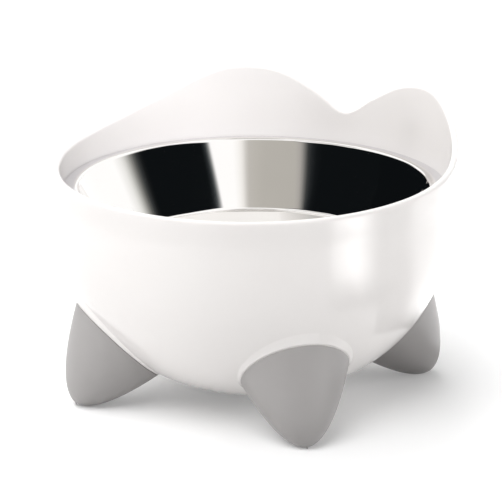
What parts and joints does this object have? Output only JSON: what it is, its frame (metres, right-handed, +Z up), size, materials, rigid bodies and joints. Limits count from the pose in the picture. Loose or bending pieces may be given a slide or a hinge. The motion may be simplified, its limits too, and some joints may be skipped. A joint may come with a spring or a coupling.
{
  "type": "raised pet bowl",
  "caption": "Raised cat food bowl: white ear-rimmed housing on grey cone feet, with a lift-out steel dish.",
  "frame": {"origin": "on the ground, on the axis of the round bowl", "axes": "+Z up; the low front of the rim faces -Y and the two ears stand at the back, +Y; +X is to the right seen from the front"},
  "size_m": [0.162, 0.162, 0.1163],
  "materials": {
    "white_plastic": "glossy moulded plastic",
    "polished_steel": "mirror-polished stainless steel",
    "grey_rubber": "satin grey",
    "screw_steel": "plain"
  },
  "bodies": {
    "housing": {"housing_shell": "white_plastic", "foot_front_right": "grey_rubber", "foot_front_left": "grey_rubber", "foot_back_right": "grey_rubber", "foot_back_left": "grey_rubber", "foot_screw_front_right": "screw_steel", "foot_screw_front_left": "screw_steel", "foot_screw_back_right": "screw_steel", "foot_screw_back_left": "screw_steel"},
    "dish": {"steel_dish": "polished_steel"}
  },
  "joints": [
    {"name": "dish_lift", "type": "slide", "parent": "housing", "child": "dish", "axis": [0, 0, 1], "range_m": [0, 0.06]}
  ]
}
